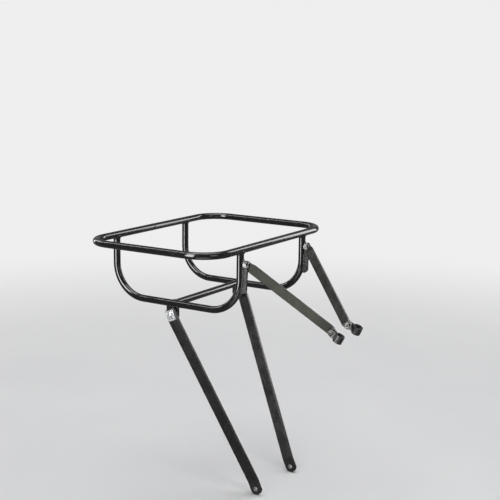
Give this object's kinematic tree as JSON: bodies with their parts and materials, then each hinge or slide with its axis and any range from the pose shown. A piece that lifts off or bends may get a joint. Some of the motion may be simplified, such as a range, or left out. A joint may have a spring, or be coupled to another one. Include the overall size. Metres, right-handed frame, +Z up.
{
  "type": "bicycle rear rack",
  "caption": "Black tubular bicycle rear rack: a flat ring on two U-shaped hoops that holds a crate, with folding legs to the dropouts and flat struts to the seat stays.",
  "frame": {"origin": "centre of the rack's bounding box in plan, at the level of the lowest points of the legs", "axes": "+X forward along the bicycle, +Y to its left, +Z up"},
  "size_m": [0.4848, 0.446, 0.508],
  "materials": {
    "black_tube": "gloss black paint",
    "black_bar": "semi-gloss black paint on flat bar and folded plate",
    "black_steel": "black coated steel",
    "zinc": "bright zinc plated",
    "rubber": "matt black rubber"
  },
  "bodies": {
    "rack_frame": {"top_rail": "black_tube", "cross_tube": "black_tube", "right_hoop": "black_tube", "right_strut_lug": "black_bar", "right_leg_bracket": "black_bar", "right_leg_pivot_bolt": "zinc", "right_leg_pivot_washers": "zinc", "right_leg_pivot_nut": "zinc", "right_strut_bolt": "zinc", "right_strut_washers": "zinc", "right_strut_nut": "zinc", "left_hoop": "black_tube", "left_strut_lug": "black_bar", "left_leg_bracket": "black_bar", "left_leg_pivot_bolt": "zinc", "left_leg_pivot_washers": "zinc", "left_leg_pivot_nut": "zinc", "left_strut_bolt": "zinc", "left_strut_washers": "zinc", "left_strut_nut": "zinc"},
    "right_leg_body": {"right_leg": "black_bar", "right_leg_top_plate": "zinc"},
    "right_strut_body": {"right_strut": "black_bar"},
    "right_clamp_body": {"right_clamp_strap": "black_steel", "right_clamp_liner": "rubber", "right_clamp_bolt": "black_steel", "right_clamp_washer": "zinc", "right_clamp_nut": "zinc"},
    "left_leg_body": {"left_leg": "black_bar", "left_leg_top_plate": "zinc"},
    "left_strut_body": {"left_strut": "black_bar"},
    "left_clamp_body": {"left_clamp_strap": "black_steel", "left_clamp_liner": "rubber", "left_clamp_bolt": "black_steel", "left_clamp_washer": "zinc", "left_clamp_nut": "zinc"}
  },
  "joints": [
    {"name": "right_leg_pivot", "type": "hinge", "parent": "rack_frame", "child": "right_leg_body", "pos_m": [-0.0924, -0.1239, 0.35801], "axis": [0, 1, 0], "range_deg": [-60, 105]},
    {"name": "right_strut_pivot", "type": "hinge", "parent": "rack_frame", "child": "right_strut_body", "pos_m": [0.0736, -0.1163, 0.47501], "axis": [0, 1, 0], "range_deg": [-45, 30]},
    {"name": "right_clamp_pivot", "type": "hinge", "parent": "right_strut_body", "child": "right_clamp_body", "pos_m": [0.2149, -0.03457, 0.34641], "axis": [0, 1, 0], "range_deg": [-35, 35]},
    {"name": "left_leg_pivot", "type": "hinge", "parent": "rack_frame", "child": "left_leg_body", "pos_m": [-0.0924, 0.1239, 0.35801], "axis": [0, 1, 0], "range_deg": [-60, 105]},
    {"name": "left_strut_pivot", "type": "hinge", "parent": "rack_frame", "child": "left_strut_body", "pos_m": [0.0736, 0.1163, 0.47501], "axis": [0, 1, 0], "range_deg": [-45, 30]},
    {"name": "left_clamp_pivot", "type": "hinge", "parent": "left_strut_body", "child": "left_clamp_body", "pos_m": [0.2149, 0.03457, 0.34641], "axis": [0, 1, 0], "range_deg": [-35, 35]}
  ]
}
